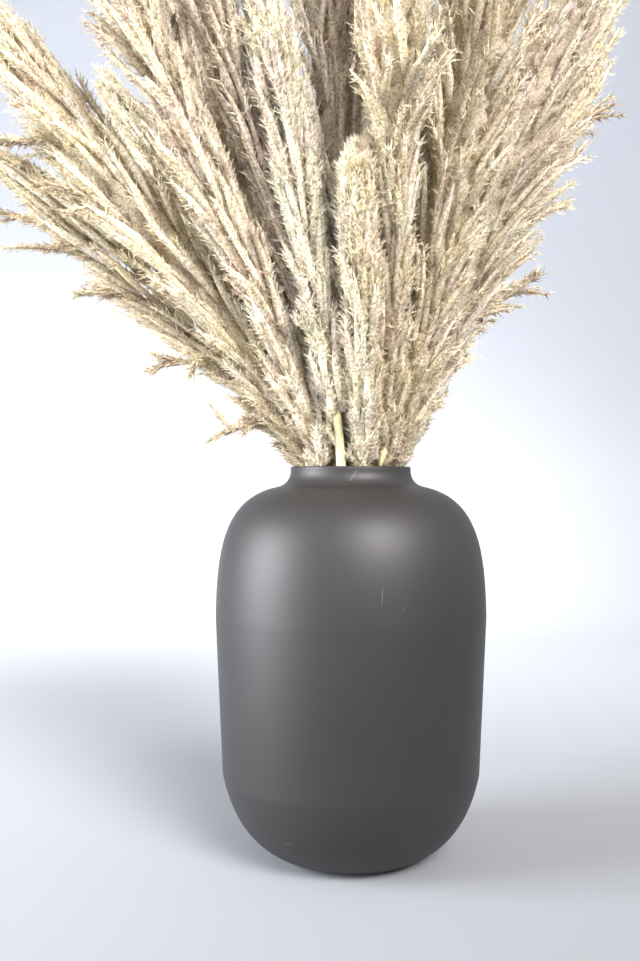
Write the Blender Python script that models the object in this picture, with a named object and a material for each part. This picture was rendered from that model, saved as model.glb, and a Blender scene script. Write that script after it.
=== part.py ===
"""A tall round-shouldered dark vase with a full bunch of dried pampas grass.

The vase is one turned hollow solid. Each stalk of grass, its stem and its plume,
grew as one piece and is one solid: a stem that stands on the vase's floor, and a
plume that begins at the mouth, in overlapping tiers of pointed tufts. Longer sprays
leave some of the plumes. The stalks stand in two rings, and each plume is only as
wide as the room between it and its neighbours.

Metres, +Z up. The origin is the middle of the vase's foot.
"""
import math

import bmesh
import bpy
import numpy as np
from mathutils import Vector

# Vase: outer sizes
VASE_HEIGHT = 0.335
BELLY_RADIUS = 0.1175
NECK_RADIUS = 0.0523
SHOULDER_END_RADIUS = 0.063
SHOULDER_TOP = 0.321
LOWER_CURVE_TOP = 0.200
UPPER_CURVE_FOOT = 0.159
FOOT_DROP = 0.005
# Vase: how square its two ends are, as powers of the outline's curves
LOWER_POWERS = (3.0, 4.0)
UPPER_POWER = 4.1
# Vase: angles on those curves where the two meet, and how many points each has
LOWER_CURVE_END = 0.45
UPPER_CURVE_START = 0.10
CURVE_POINTS = 7
HOLLOW_POINTS = 4
# Vase: wall
WALL = 0.005
FLOOR = 0.008
RIM_ROUND = 0.0012
VASE_SIDES = 44

# Bunch: where the stems stand and where they pass the mouth
OUTER_RING = dict(count=14, foot=0.026, neck=0.0405, first=180.0)
INNER_RING = dict(count=7, foot=0.0165, neck=0.0225, first=193.0)
STEM_RADIUS = 0.0031
TOUCH_GAP = 0.0003
STEM_BEND_POWER = 5
# Above the mouth a stalk turns to its own lean within this height
TURN_HEIGHT = 0.050
AIM_HEIGHT = 0.400
NOD_POWER = 4
PLUME_START = 0.003
# Rings of the stem inside the vase, as heights from the rim
STEM_RINGS = (-0.120, -0.040)

# Plume: form
PLUME_SIDES = 8
PLUME_PEAK = 0.38
PLUME_FORM_POWER = 0.5
TIER_POWER = 1.1
TUFT_PLACE = 0.62
TUFT_LIFT = 0.22
TUFT_WAIST = 0.70
TUFT_HOLLOW = 0.80
TIP_RADIUS = 0.0016
OUTWARD_REACH = 0.72
REACH_HEIGHTS = (0.010, 0.045)
REACH_POWER = 1.5
ROOM_SHARE = 0.485
ROOM_GAP = 0.0008
RIM_CLEARANCE = 0.0015
ROOM_SAMPLES = 150

# Each stalk of a ring, in order round the mouth from the left by way of the front:
# where it points at the aim height (x, y), how high its tip is above the rim, how
# wide its plume may be, how far its tip nods outwards, how many tiers it has, and
# its colour
OUTER_STALKS = (
    (-0.415, -0.030, 0.275, 0.030, 0.030, 8, "cream"),
    (-0.312, -0.078, 0.455, 0.030, 0.026, 9, "cream"),
    (-0.180, -0.125, 0.500, 0.036, 0.018, 8, "tan"),
    (-0.074, -0.128, 0.425, 0.026, 0.010, 8, "cream"),
    (-0.008, -0.165, 0.245, 0.036, 0.004, 7, "cream"),
    (0.026, -0.150, 0.515, 0.042, 0.012, 8, "cream"),
    (0.106, -0.104, 0.520, 0.044, 0.012, 8, "cream"),
    (0.180, -0.035, 0.500, 0.042, 0.014, 8, "tan"),
    (0.212, 0.050, 0.480, 0.038, 0.012, 9, "cream"),
    (0.190, 0.140, 0.490, 0.042, 0.016, 8, "tan"),
    (0.114, 0.185, 0.505, 0.044, 0.014, 8, "cream"),
    (-0.008, 0.194, 0.510, 0.042, 0.012, 8, "taupe"),
    (-0.122, 0.160, 0.420, 0.040, 0.010, 8, "tan"),
    (-0.232, 0.085, 0.385, 0.026, 0.016, 8, "cream"),
)
INNER_STALKS = (
    (-0.150, -0.036, 0.530, 0.036, 0.014, 8, "tan"),
    (-0.124, -0.132, 0.540, 0.042, 0.014, 8, "taupe"),
    (-0.026, -0.084, 0.550, 0.038, 0.010, 8, "taupe"),
    (0.090, -0.034, 0.540, 0.040, 0.010, 8, "tan"),
    (0.112, 0.060, 0.530, 0.042, 0.010, 8, "cream"),
    (0.014, 0.088, 0.545, 0.040, 0.010, 8, "tan"),
    (-0.096, 0.070, 0.430, 0.038, 0.008, 8, "cream"),
)

# Sprays: long loose strands that leave a plume, as stalk, tier, and tip (x, y, z)
SPRAYS = (
    (1, 1, (-0.113, -0.030, 0.362)),
    (1, 2, (-0.168, -0.026, 0.424)),
    (1, 3, (-0.232, -0.024, 0.484)),
    (1, 4, (-0.282, -0.030, 0.520)),
    (1, 5, (-0.318, -0.024, 0.548)),
    (2, 4, (-0.245, -0.080, 0.555)),
    (2, 6, (-0.300, -0.080, 0.592)),
    (3, 5, (-0.192, -0.100, 0.668)),
    (9, 3, (0.172, 0.040, 0.500)),
    (9, 5, (0.238, 0.048, 0.664)),
    (10, 4, (0.185, 0.130, 0.560)),
    (12, 4, (-0.010, 0.175, 0.590)),
    (14, 3, (-0.150, 0.075, 0.520)),
)
SPRAY_STEPS = 4
SPRAY_SAG = 0.10
SPRAY_WIDTH = 0.62
SPRAY_TAPER = 0.8
SPRAY_TIP_WIDTH = 0.05

COLOURS = {
    "matte_charcoal": ((0.062, 0.058, 0.060), 0.62),
    "dried_cream": ((0.74, 0.62, 0.40), 0.90),
    "dried_tan": ((0.55, 0.42, 0.25), 0.92),
    "dried_taupe": ((0.42, 0.32, 0.24), 0.92),
}


def clear_scene():
    """Removes what a new file starts with."""
    for thing in list(bpy.data.objects):
        bpy.data.objects.remove(thing, do_unlink=True)


def make_material(name):
    """A plain Principled finish with the part's colour and roughness."""
    colour, roughness = COLOURS[name]
    material = bpy.data.materials.new(name)
    material.use_nodes = True
    shader = material.node_tree.nodes["Principled BSDF"]
    shader.inputs["Base Color"].default_value = (*colour, 1.0)
    shader.inputs["Roughness"].default_value = roughness
    shader.inputs["Metallic"].default_value = 0.0
    return material


def add_object(name, bm, material, sharp_angle):
    """Puts a finished bmesh in the scene as one named, smooth-shaded object."""
    mesh = bpy.data.meshes.new(name)
    bmesh.ops.recalc_face_normals(bm, faces=bm.faces)
    bm.to_mesh(mesh)
    bm.free()
    mesh.shade_smooth()
    mesh.set_sharp_from_angle(angle=math.radians(sharp_angle))
    mesh.materials.append(material)
    thing = bpy.data.objects.new(name, mesh)
    bpy.context.scene.collection.objects.link(thing)
    return thing


def power_arc(start, end, count, powers):
    """Points (u, v) on the curve u**p + v**q = 1 between two angles."""
    angle = np.linspace(start, end, count)
    return np.cos(angle) ** (2 / powers[0]), np.sin(angle) ** (2 / powers[1])


def vase_outer():
    """Outer outline from the foot's edge to the top of the neck, as (radius, height).

    Two power curves meet in the straight side, and a hollow arc that is tangent to
    the shoulder turns it up into the neck.
    """
    foot_share = LOWER_CURVE_TOP / (LOWER_CURVE_TOP + FOOT_DROP)
    foot_angle = math.asin(foot_share ** (LOWER_POWERS[1] / 2))
    u, v = power_arc(foot_angle, LOWER_CURVE_END, CURVE_POINTS, LOWER_POWERS)
    lower = np.stack([BELLY_RADIUS * u, LOWER_CURVE_TOP - (LOWER_CURVE_TOP + FOOT_DROP) * v], 1)

    share = SHOULDER_END_RADIUS / BELLY_RADIUS
    last_angle = math.acos(share ** (UPPER_POWER / 2))
    u, v = power_arc(UPPER_CURVE_START, last_angle, CURVE_POINTS, (UPPER_POWER, UPPER_POWER))
    rise = SHOULDER_TOP - UPPER_CURVE_FOOT
    upper = np.stack([BELLY_RADIUS * u, UPPER_CURVE_FOOT + rise * v], 1)

    steepness = (u[-1] / v[-1]) ** (UPPER_POWER - 1) * rise / BELLY_RADIUS
    slope = math.atan(steepness)
    radius = (SHOULDER_END_RADIUS - NECK_RADIUS) / (1 - math.sin(slope))
    angle = np.linspace(1.5 * math.pi - slope, math.pi, HOLLOW_POINTS)[1:]
    centre = (NECK_RADIUS + radius, upper[-1, 1] + radius * math.cos(slope))
    neck = np.stack([centre[0] + radius * np.cos(angle), centre[1] + radius * np.sin(angle)], 1)
    rim = np.array([[NECK_RADIUS, VASE_HEIGHT - RIM_ROUND], [NECK_RADIUS - RIM_ROUND, VASE_HEIGHT]])
    return np.concatenate([lower, upper, neck, rim])


def vase_inner(outer):
    """Inner outline from the rim down to the floor: the outer one set in by the wall."""
    body = outer[:-2]
    along = np.gradient(body, axis=0)
    along /= np.linalg.norm(along, axis=1, keepdims=True)
    inner = body + WALL * np.stack([-along[:, 1], along[:, 0]], 1)
    inner = inner[(inner[:, 1] > FLOOR + WALL) & (inner[:, 1] < VASE_HEIGHT - 2 * WALL)][::-1]
    kept = inner[::2]
    inner_neck = NECK_RADIUS - WALL
    rim = np.array([[inner_neck + RIM_ROUND, VASE_HEIGHT], [inner_neck, VASE_HEIGHT - RIM_ROUND]])
    floor = np.array([[kept[-1, 0] - FLOOR - WALL / 2, FLOOR]])
    return np.concatenate([rim, kept, floor])


def turn_outline(bm, outline, sides):
    """Turns an outline of (radius, height) about Z, and closes both ends flat."""
    angle = np.linspace(0, 2 * math.pi, sides, endpoint=False)
    rings = [[bm.verts.new((r * math.cos(a), r * math.sin(a), z)) for a in angle] for r, z in outline]
    bridge_rings(bm, rings)
    bm.faces.new(list(reversed(rings[0])))
    bm.faces.new(rings[-1])


def bridge_rings(bm, rings):
    """Joins rings of as many corners by four-sided faces, row by row."""
    rows = []
    for low, high in zip(rings, rings[1:]):
        row = []
        for j, corner in enumerate(low):
            nxt = (j + 1) % len(low)
            row.append(bm.faces.new((corner, low[nxt], high[nxt], high[j])))
        rows.append(row)
    return rows


def make_vase(material):
    """The vase: one wall from the foot, over the rim and down to the inner floor."""
    outer = vase_outer()
    bm = bmesh.new()
    turn_outline(bm, np.concatenate([outer, vase_inner(outer)]), VASE_SIDES)
    return add_object("vase", bm, material, sharp_angle=40)


def ring_stalks():
    """Every stalk as a dictionary of its foot, its place in the mouth and its lean."""
    stalks = []
    for ring, rows, reach in ((OUTER_RING, OUTER_STALKS, OUTWARD_REACH), (INNER_RING, INNER_STALKS, 0)):
        for k, (x, y, tip, width, nod, tiers, tint) in enumerate(rows):
            angle = math.radians(ring["first"] + k * 360 / ring["count"])
            way = np.array([math.cos(angle), math.sin(angle)])
            stalks.append(dict(foot=ring["foot"] * way, neck=ring["neck"] * way, aim=np.array([x, y]),
                               tip=tip, width=width, nod=nod, tiers=tiers, reach=reach, tint=tint))
    return stalks


def stalk_line(stalk, heights):
    """Centre-line points at the given heights above the rim, below it when negative.

    Inside the vase the offset from the foot grows with a power of the height. Above
    the rim the slope moves from the stem's own to the lean as an exponential, and the
    tip nods outwards with the fourth power of the height.
    """
    depth = VASE_HEIGHT - FLOOR - TOUCH_GAP
    spread = stalk["neck"] - stalk["foot"]
    start_slope = spread * STEM_BEND_POWER / depth
    turned = AIM_HEIGHT - TURN_HEIGHT
    lean_gain = (stalk["aim"] - stalk["neck"] - start_slope * AIM_HEIGHT) / turned
    inside = np.clip(1 + heights / depth, 0, 1)[:, None] ** STEM_BEND_POWER
    above = np.clip(heights, 0, None)[:, None]
    turn = above - TURN_HEIGHT * (1 - np.exp(-above / TURN_HEIGHT))
    outward = stalk["aim"] / np.linalg.norm(stalk["aim"])
    nod = stalk["nod"] * outward * (above / stalk["tip"]) ** NOD_POWER
    flat = stalk["foot"] + spread * inside + start_slope * above + lean_gain * turn + nod
    return np.column_stack([flat, VASE_HEIGHT + heights])


def wall_distance(points):
    """How far points are from the neck's wall, in the plane through the axis."""
    radius = np.hypot(points[:, 0], points[:, 1])
    side = np.maximum(np.maximum(NECK_RADIUS - WALL - radius, radius - NECK_RADIUS), 0)
    rise = np.maximum(points[:, 2] - VASE_HEIGHT, 0)
    return np.hypot(side, rise)


def room_table(stalks):
    """For each stalk, heights from rim to tip and the radius free for it at each."""
    heights = [np.linspace(0, stalk["tip"], ROOM_SAMPLES) for stalk in stalks]
    lines = [stalk_line(stalk, h) for stalk, h in zip(stalks, heights)]
    table = []
    for i, line in enumerate(lines):
        others = np.concatenate(lines[:i] + lines[i + 1:])
        apart = np.linalg.norm(line[:, None] - others[None], axis=2).min(axis=1)
        room = np.minimum(ROOM_SHARE * apart - ROOM_GAP, wall_distance(line) - RIM_CLEARANCE)
        table.append((heights[i], room))
    return table


def plume_radius(stalk, room, heights):
    """The plume's outline radius: full at its middle, closed at its tip, within its room."""
    share = np.clip(heights / stalk["tip"], 0, 1)
    rising = np.minimum(share / PLUME_PEAK, 1) ** PLUME_FORM_POWER
    closing = np.clip((1 - share) / (1 - PLUME_PEAK), 0, 1) ** PLUME_FORM_POWER
    form = stalk["width"] * rising * closing
    return np.clip(np.minimum(form, np.interp(heights, *room)), TIP_RADIUS, None)


def ring_frame(line, index, outward):
    """Two directions square to a line of points at one of them, the first outwards."""
    along = line[min(index + 1, len(line) - 1)] - line[max(index - 1, 0)]
    along = along / np.linalg.norm(along)
    first = np.append(outward, 0.0)
    first = first - first.dot(along) * along
    first /= np.linalg.norm(first)
    return first, np.cross(along, first)


def outward_reach(height, angle, reach):
    """How much longer the tufts are on the side that faces away from the bunch."""
    ramp = np.clip((height - REACH_HEIGHTS[0]) / (REACH_HEIGHTS[1] - REACH_HEIGHTS[0]), 0, 1)
    return 1 + reach * ramp * max(math.cos(angle), 0) ** REACH_POWER


def plume_rings(stalk, room):
    """Heights, radii and lobe turns of the rings: a stem, then tiers of tufts."""
    tiers = stalk["tiers"]
    share = np.arange(tiers + 1) / tiers
    step = share ** TIER_POWER * (stalk["tip"] - PLUME_START) + PLUME_START
    rows = [(-(VASE_HEIGHT - FLOOR - TOUCH_GAP), STEM_RADIUS, 0)]
    rows += [(height, STEM_RADIUS, 0) for height in STEM_RINGS]
    rows.append((step[0], STEM_RADIUS, 0))
    for k in range(tiers):
        tuft = step[k] + TUFT_PLACE * (step[k + 1] - step[k])
        waist = tuft + TUFT_LIFT * (step[k + 1] - step[k])
        full = plume_radius(stalk, room, np.array([tuft, waist]))
        rows.append((tuft, full[0], 1 if k % 2 else -1))
        if k < tiers - 1:
            rows.append((waist, max(full[1] * TUFT_WAIST, TIP_RADIUS), 0))
    rows.append((stalk["tip"], TIP_RADIUS, 0))
    return rows


def make_stalk(name, stalk, room, sprays, material):
    """One stalk: rings of corners carried up its centre-line, and its sprays."""
    rows = plume_rings(stalk, room)
    heights = np.array([row[0] for row in rows])
    line = stalk_line(stalk, heights)
    outward = stalk["aim"] / np.linalg.norm(stalk["aim"])
    bm = bmesh.new()
    rings = []
    for i, (_, radius, lobes) in enumerate(rows):
        first, second = ring_frame(line, i, outward)
        ring = []
        for j in range(PLUME_SIDES):
            turn = 2 * math.pi * j / PLUME_SIDES
            hollow = TUFT_HOLLOW if lobes and (j % 2 == 0) == (lobes > 0) else 1.0
            longer = hollow * outward_reach(heights[i], turn, stalk["reach"])
            place = line[i] + radius * longer * (math.cos(turn) * first + math.sin(turn) * second)
            ring.append(bm.verts.new(place))
        rings.append(ring)
    faces = bridge_rings(bm, rings)
    bm.faces.new(list(reversed(rings[0])))
    bm.faces.new(rings[-1])
    stem_rows = 1 + len(STEM_RINGS)
    for tier, tip in sprays:
        grow_spray(bm, faces[stem_rows + 2 * tier], Vector(tip))
    return add_object(name, bm, material, sharp_angle=180)


def grow_spray(bm, flank, tip):
    """Draws one face of a tier out to a tip, in steps that narrow and sag."""
    start_of = {face: face.calc_center_median() for face in flank}
    middle = sum(start_of.values(), Vector()) / len(flank)
    face = max(flank, key=lambda one: (start_of[one] - middle).normalized().dot((tip - middle).normalized()))
    start = start_of[face]
    reach = tip - start
    corners = [(vert.co - start) for vert in face.verts]
    for step in range(1, SPRAY_STEPS + 1):
        share = step / SPRAY_STEPS
        grown = bmesh.ops.extrude_discrete_faces(bm, faces=[face])
        face = grown["faces"][0]
        sag = Vector((0, 0, reach.length * SPRAY_SAG * 4 * share * (1 - share)))
        centre = start + reach * share + sag
        size = SPRAY_WIDTH * (1 - share) ** SPRAY_TAPER + SPRAY_TIP_WIDTH
        for vert, corner in zip(face.verts, corners):
            vert.co = centre + corner * size


def main():
    clear_scene()
    materials = {name: make_material(name) for name in COLOURS}
    make_vase(materials["matte_charcoal"])
    stalks = ring_stalks()
    rooms = room_table(stalks)
    for number, (stalk, room) in enumerate(zip(stalks, rooms), start=1):
        sprays = [(tier, tip) for owner, tier, tip in SPRAYS if owner == number]
        make_stalk(f"pampas_stalk_{number:02d}", stalk, room, sprays, materials["dried_" + stalk["tint"]])


main()
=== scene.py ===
"""Looks of the vase of pampas grass: smooth matt vase, feathery plumes, pale studio."""
import math

import bpy
import numpy as np
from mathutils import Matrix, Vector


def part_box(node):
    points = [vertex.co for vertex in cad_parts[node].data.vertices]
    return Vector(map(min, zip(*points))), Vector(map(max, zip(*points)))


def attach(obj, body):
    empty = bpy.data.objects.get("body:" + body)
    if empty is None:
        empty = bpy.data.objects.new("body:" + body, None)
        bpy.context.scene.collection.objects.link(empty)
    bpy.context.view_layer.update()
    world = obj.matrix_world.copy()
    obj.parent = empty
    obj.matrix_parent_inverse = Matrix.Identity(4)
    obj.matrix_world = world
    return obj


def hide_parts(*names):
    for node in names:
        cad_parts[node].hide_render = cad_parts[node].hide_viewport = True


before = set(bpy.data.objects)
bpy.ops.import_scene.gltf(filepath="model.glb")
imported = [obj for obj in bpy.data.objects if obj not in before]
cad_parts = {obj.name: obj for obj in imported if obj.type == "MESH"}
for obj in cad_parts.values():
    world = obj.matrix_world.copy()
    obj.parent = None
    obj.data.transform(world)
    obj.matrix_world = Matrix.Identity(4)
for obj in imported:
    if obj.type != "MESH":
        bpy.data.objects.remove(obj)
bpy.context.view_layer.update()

bl_info = {
    "name": "Vase of Pampas Grass",
    "version": (1, 0, 0),
    "blender": (4, 5, 0),
    "location": "3D View > Sidebar > Pampas",
    "description": "Builds the surfaces, materials and studio of a vase of dried pampas grass",
    "category": "Object",
}

VASE_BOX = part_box("vase")
VASE_HEIGHT = VASE_BOX[1][2]

# How square the vase's two ends are, as powers of its outline's curves
LOWER_POWERS = (3.0, 4.0)
UPPER_POWER = 4.1
LOWER_CURVE_TOP = 0.200
UPPER_CURVE_FOOT = 0.159
FOOT_DROP = 0.005
SHOULDER_TOP = 0.321
SHOULDER_END_RADIUS = 0.063
RIM_ROUND = 0.0012
# Where the lower curve ends and the upper one starts, as angles on the curves
LOWER_CURVE_END = 0.40
UPPER_CURVE_START = 0.08
CURVE_POINTS = 60
NECK_POINTS = 16
LIP_POINTS = 13
# What is left between the inner wall's curve and the floor and rim, and the foot's edge
INNER_FLOOR_GAP = 0.002
INNER_RIM_GAP = 0.010
INNER_FLOOR_ROUND = 0.010
FOOT_EDGE = 0.0008

# Fine pale scratches on the front of the vase: start and end as (x, z), and half width
SCRATCHES = (
    ((0.0035, 0.3315), (-0.0022, 0.3225), 0.00030),
    ((0.0215, 0.2410), (0.0205, 0.2290), 0.00022),
    ((0.0365, 0.2255), (0.0385, 0.2225), 0.00022),
    ((-0.0560, 0.0330), (-0.0500, 0.0360), 0.00025),
)
# The glaze's cloudy tone, as a share of its colour at two places of the noise, and the
# fine grain in its bump
CLOUD_NOISE = dict(scale=9.0, detail=4.0)
CLOUD_TONES = ((0.30, 0.90), (0.70, 1.10))
GRAIN_NOISE = dict(scale=900.0, detail=3.0)
GRAIN_BUMP = dict(strength=0.06, distance=0.0004)

# A direction that no stem or lock runs along
NO_STRAND_WAY = (0.25, 1.0, 0.15)
# Where the stems stand and where they pass the mouth
OUTER_RING = dict(count=14, foot=0.026, neck=0.0405, first=180.0)
INNER_RING = dict(count=7, foot=0.0165, neck=0.0225, first=193.0)
TOUCH_GAP = 0.0003
STEM_BEND_POWER = 5
TURN_HEIGHT = 0.050
AIM_HEIGHT = 0.400
NOD_POWER = 4
# The step in height over which a plume's direction is measured
AXIS_STEP = 0.002

# Form of a plume, and the room that it leaves to its neighbours
PLUME_PEAK = 0.38
PLUME_POWER = 0.5
TIP_RADIUS = 0.0016
OUTWARD_REACH = 0.60
REACH_HEIGHTS = (0.010, 0.045)
REACH_POWER = 1.5
ROOM_SHARE = 0.485
ROOM_GAP = 0.0008
ROOM_POINTS = 150
RIM_CLEARANCE = 0.0015

# Each stalk of a ring, in order round the mouth from the left by way of the front:
# where it points at the aim height (x, y), its tip's height above the rim, its
# plume's width, how far its tip nods outwards, and its colour
OUTER_STALKS = (
    (-0.415, -0.030, 0.275, 0.030, 0.030, "cream"),
    (-0.312, -0.078, 0.455, 0.030, 0.026, "cream"),
    (-0.180, -0.125, 0.500, 0.036, 0.018, "tan"),
    (-0.074, -0.128, 0.425, 0.026, 0.010, "cream"),
    (-0.008, -0.165, 0.245, 0.036, 0.004, "cream"),
    (0.026, -0.150, 0.515, 0.042, 0.012, "cream"),
    (0.106, -0.104, 0.520, 0.044, 0.012, "cream"),
    (0.180, -0.035, 0.500, 0.042, 0.014, "tan"),
    (0.212, 0.050, 0.480, 0.038, 0.012, "cream"),
    (0.190, 0.140, 0.490, 0.042, 0.016, "tan"),
    (0.114, 0.185, 0.505, 0.044, 0.014, "cream"),
    (-0.008, 0.194, 0.510, 0.042, 0.012, "taupe"),
    (-0.122, 0.160, 0.420, 0.040, 0.010, "tan"),
    (-0.232, 0.085, 0.385, 0.026, 0.016, "cream"),
)
INNER_STALKS = (
    (-0.150, -0.036, 0.530, 0.036, 0.014, "tan"),
    (-0.124, -0.132, 0.540, 0.042, 0.014, "taupe"),
    (-0.026, -0.084, 0.550, 0.038, 0.010, "taupe"),
    (0.090, -0.034, 0.540, 0.040, 0.010, "tan"),
    (0.112, 0.060, 0.530, 0.042, 0.010, "cream"),
    (0.014, 0.088, 0.545, 0.040, 0.010, "tan"),
    (-0.096, 0.070, 0.430, 0.038, 0.008, "cream"),
)

# Fluff colours from a plume's deepest brown to its palest tips
FLUFF_RAMPS = {
    "cream": [(0.00, (0.40, 0.32, 0.24)), (0.22, (0.73, 0.64, 0.51)), (0.45, (0.90, 0.83, 0.66)),
              (0.70, (0.98, 0.93, 0.77)), (1.00, (1.00, 0.985, 0.90))],
    "tan": [(0.00, (0.37, 0.29, 0.21)), (0.22, (0.69, 0.60, 0.49)), (0.45, (0.87, 0.795, 0.66)),
            (0.70, (0.96, 0.91, 0.79)), (1.00, (1.00, 0.99, 0.93))],
    "taupe": [(0.00, (0.35, 0.28, 0.22)), (0.22, (0.66, 0.58, 0.50)), (0.45, (0.84, 0.765, 0.675)),
              (0.70, (0.95, 0.89, 0.80)), (1.00, (1.00, 0.975, 0.91))],
}
# Where on its ramp each colour's fluff lies on average
MEAN_TINT = {"cream": 0.68, "tan": 0.65, "taupe": 0.60}
# What that colour is multiplied by: painted shade along a fibre from its root, in the
# small flecks, and in the broad patches
ROOT_SHADE_RAMP = [(0.0, (0.68, 0.62, 0.55)), (0.50, (1.0, 1.0, 1.0))]
FLECK_RAMP = [(0.40, (0.68, 0.61, 0.55)), (0.52, (1.0, 1.0, 1.0))]
PATCH_RAMP = [(0.36, (1.0, 1.0, 0.95)), (0.50, (1.0, 1.0, 1.0)), (0.64, (0.975, 0.94, 0.955))]
FLECK_NOISE = dict(scale=520.0, detail=2.0)
PATCH_NOISE = dict(scale=34.0, detail=2.0)
FLECK_BUMP = dict(strength=0.7, distance=0.0014)
FLUFF_SHINE = 0.25

# The straw of a stem: streaks drawn out along it, their colours and their bump
STRAW_ROUGHNESS = 0.55
STREAK_STRETCH = (900.0, 900.0, 25.0)
STREAK_NOISE = dict(scale=1.0, detail=3.0)
STREAK_RAMP = [(0.30, (0.62, 0.55, 0.26)), (0.70, (0.90, 0.85, 0.58))]
STREAK_BUMP = dict(strength=0.4, distance=0.0003)

# The stalk whose pale stem shows at the mouth, how high, and how thick it is there
BARE_STEM_STALK = 4
BARE_STEM_HEIGHT = 0.048
BARE_STEM_SWELL = 1.35
# How much paler that stalk's fluff is than its neighbours'
BARE_STALK_PALER = 0.16
# Papery husks on that pale stalk, as the start and tip of each
HUSKS = (
    ((-0.034, -0.076, 0.440), (-0.041, -0.088, 0.462)),
    ((-0.033, -0.078, 0.444), (-0.035, -0.093, 0.466)),
    ((-0.035, -0.077, 0.441), (-0.046, -0.084, 0.455)),
    ((-0.014, -0.044, 0.352), (-0.022, -0.050, 0.368)),
    ((-0.014, -0.047, 0.368), (-0.024, -0.052, 0.386)),
    ((-0.013, -0.048, 0.376), (-0.006, -0.055, 0.394)),
)

# The stalk whose plume is loose above a height, and the share of its locks kept there
LOOSE_STALK = 1
LOOSE_FROM = 0.110
LOOSE_SHARE = 0.42
# How much thinner that plume's heart gets, and over what height
LOOSE_HEART_THINNER = 0.75
LOOSE_HEART_RISE = 0.040

# Sprays: long loose strands that leave a plume, as stalk, start height and tip
SPRAYS = (
    (1, 0.030, (-0.113, -0.030, 0.362)),
    (1, 0.060, (-0.168, -0.026, 0.424)),
    (1, 0.095, (-0.232, -0.024, 0.484)),
    (1, 0.130, (-0.282, -0.030, 0.520)),
    (1, 0.165, (-0.318, -0.024, 0.548)),
    (2, 0.170, (-0.245, -0.080, 0.555)),
    (2, 0.240, (-0.300, -0.080, 0.592)),
    (3, 0.260, (-0.192, -0.100, 0.668)),
    (9, 0.080, (0.172, 0.040, 0.500)),
    (9, 0.220, (0.238, 0.048, 0.664)),
    (10, 0.150, (0.185, 0.130, 0.560)),
    (12, 0.150, (-0.010, 0.175, 0.590)),
    (14, 0.090, (-0.150, 0.075, 0.520)),
)
# A spray's bow as a share of its length; its first side lock's start and the share of
# the spray that the starts are spread over; a side lock's length as a share of it; how
# far a side lock drifts off and with what power; its thickness and how much it is darker
SPRAY_BOW = 0.11
SPRAY_FIRST = 0.16
SPRAY_SPAN = 0.70
SPRAY_LOCK_SHARE = (0.24, 0.36)
SPRAY_DRIFT = 0.0085
SPRAY_DRIFT_POWER = 1.5
SPRAY_THICKNESS = 0.62
SPRAY_DARKER = (0.10, 0.40)

# Where locks, a plume's side branches, start: how far below the fluff's foot, the share
# of the tip's height that the last one has, and the power that spaces them
LOCK_START_DROP = 0.012
LOCK_LAST_START = 0.90
LOCK_START_POWER = 0.80
# The angle from one lock to the next round the axis, in radians, and its spread
GOLDEN_ANGLE = 2.39996
LOCK_ANGLE_SPREAD = 0.4
# Lowest height, and highest share of the tip's height, at which a lock reads its radius
LOCK_LOWEST = 0.006
LOCK_HIGHEST = 0.995
# Lowest height at which a plume's axis is read
AXIS_LOWEST = -0.05
# How strongly locks and spikelets crowd on their outward side
OUTWARD_CROWDING = 0.45
# Share of locks that lie inside the plume, and how far out inner and outer ones lie
INNER_LOCK_SHARE = 0.30
INNER_LOCK_DEPTH = (0.62, 0.84)
OUTER_LOCK_DEPTH = (0.88, 1.06)
# A lock's length at the foot, what it gains with the share of the height up to a limit,
# its spread, and at what share of the tip's height the last ones end
LOCK_LENGTH = 0.026
LOCK_LENGTH_GAIN = 0.08
LOCK_GAIN_LIMIT = 0.32
LOCK_LENGTH_SPREAD = (0.65, 1.45)
LOCK_END = (0.92, 1.01)
# A lock's reach at its root, its flare at the end, its wave with the wave's rate and
# range of phases, its turn round the axis and its sag
LOCK_ROOT_REACH = 0.54
LOCK_FLARE = (-0.04, 0.16)
LOCK_WAVE = (0.02, 0.09)
LOCK_WAVE_RATE = (2, 5)
LOCK_WAVE_PHASES = (0, 6.3)
LOCK_TURN = 0.22
LOCK_SAG = (0.1, 1.4)
# How a plume narrows in the mouth and towards its tip
MOUTH_RISE = 0.010
MOUTH_SHARE = 0.3
TIP_PINCH = 0.45
TIP_PINCH_POWER = 5
# A lock's body: corners round it, its share of the radius at the ends, the part of a
# sine arch that it takes and the arch's power, how uneven it is, its tint's limits, and
# a husk's tint
LOCK_SIDES = 5
LOCK_END_SHARE = 0.12
LOCK_ARCH = (0.08, 0.90)
LOCK_ARCH_POWER = 0.85
LOCK_RADIUS_SPREAD = (0.75, 1.2)
LOCK_LUMPS = 0.22
LOCK_TINTS = (0.06, 0.97)
HUSK_TINT = 1.0

# Spikelets: the power that spaces them along a lock, their length's share at its root
# and gain along it, how deep in the lock's body they are rooted, and their tint's limits
SPIKELET_START_POWER = 0.80
SPIKELET_LENGTH_SHARE = (0.80, 0.30)
SPIKELET_ROOT = 0.70
SPIKELET_TINTS = (0.01, 0.99)

# A plume's heart: its grid, its span between the bare stem and the tip, its share of
# the plume's radius, its lumps, its taper at the foot, and its tint, darker as painted
# shade inside the plume, with its spread and limits
HEART_RINGS = 70
HEART_SIDES = 18
HEART_SPAN = (0.7, 0.97)
HEART_SHARE = 0.55
HEART_LUMPS = 0.14
HEART_TAPER = 0.030
HEART_FOOT_SHARE = 0.15
HEART_PAINTED_SHADE = 0.13
HEART_TINT_SPREAD = 0.14
HEART_TINTS = (0.05, 1.0)

# A stem: its grid, how far up the plume it goes, its share of the radius there, from
# what height it is swelled where it shows, and its tint
STEM_RINGS = 48
STEM_SIDES = 10
STEM_TOP = 0.6
STEM_TIP_SHARE = 0.35
STEM_SWELL_FROM = -0.02
STEM_TINT = 0.5

# A stalk's two materials: the fluff's and the stem's
FLUFF_SLOT = 0
STRAW_SLOT = 1
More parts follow.
